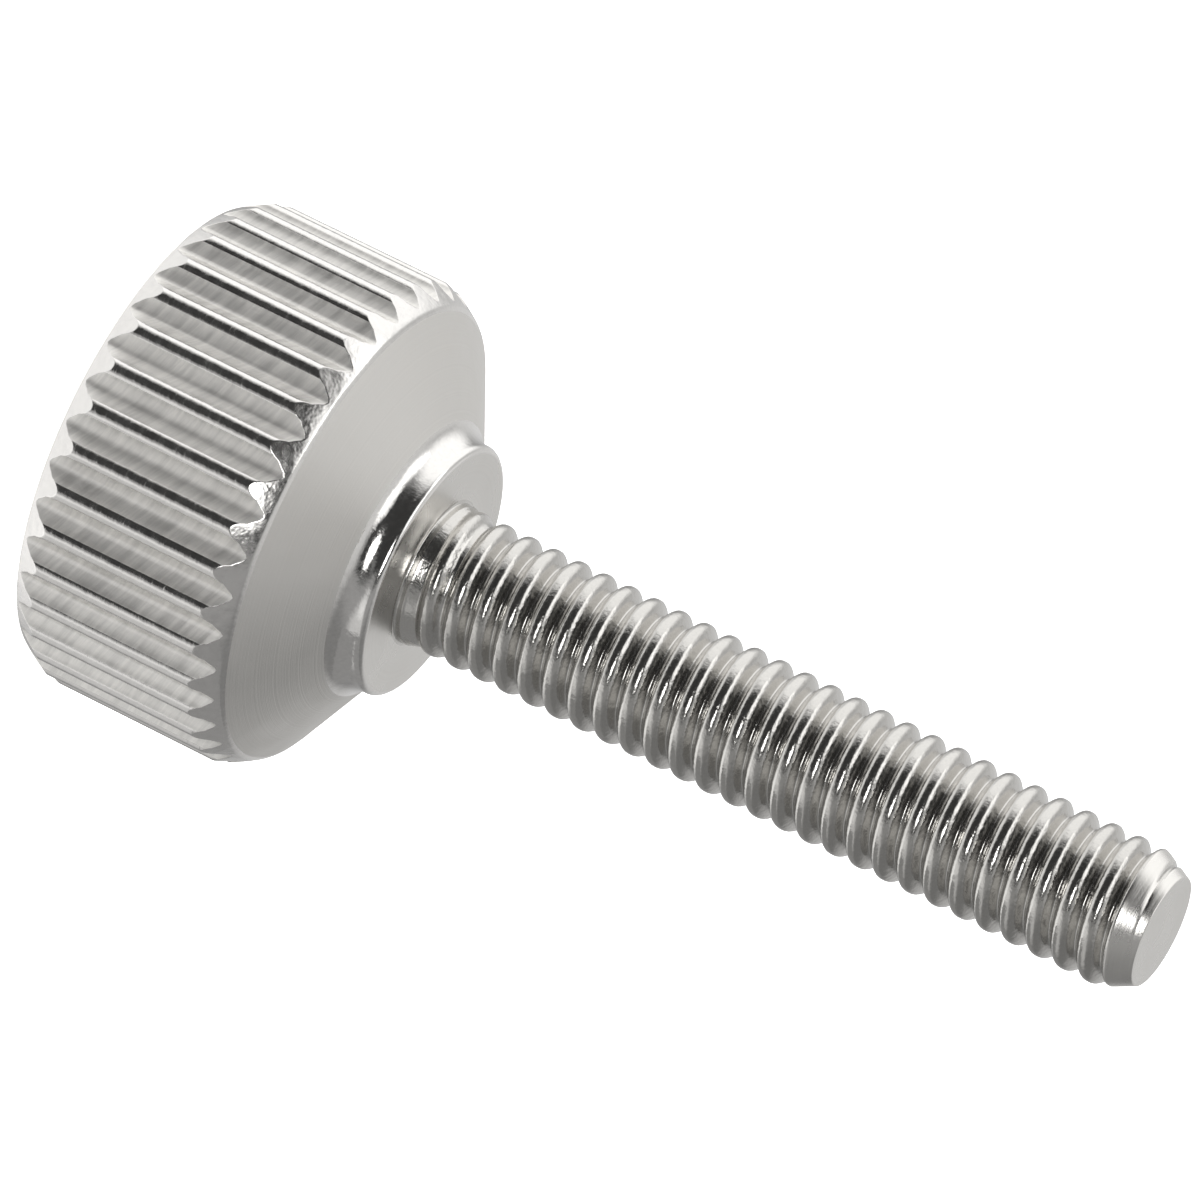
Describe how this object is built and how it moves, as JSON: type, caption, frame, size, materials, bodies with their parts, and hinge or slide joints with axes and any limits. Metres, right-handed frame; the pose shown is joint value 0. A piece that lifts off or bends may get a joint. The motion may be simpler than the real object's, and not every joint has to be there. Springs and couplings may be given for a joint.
{
  "type": "thumb screw",
  "caption": "Thumb screw with a coarse straight-knurled round head, a coned underside, a seating collar and a fully threaded shank with a bevelled tip.",
  "frame": {"origin": "centre of the flat end of the head, which the screw stands on", "axes": "+Z along the screw's axis, from the head's flat end towards the tip; +X through the crest of one tooth"},
  "size_m": [0.0144, 0.0144, 0.0319],
  "materials": {
    "screw_steel": "bright turned steel: knurl and collar polished, cone and end faces satin, thread bright"
  },
  "bodies": {
    "root": {"thumb_screw": "screw_steel"}
  },
  "joints": []
}
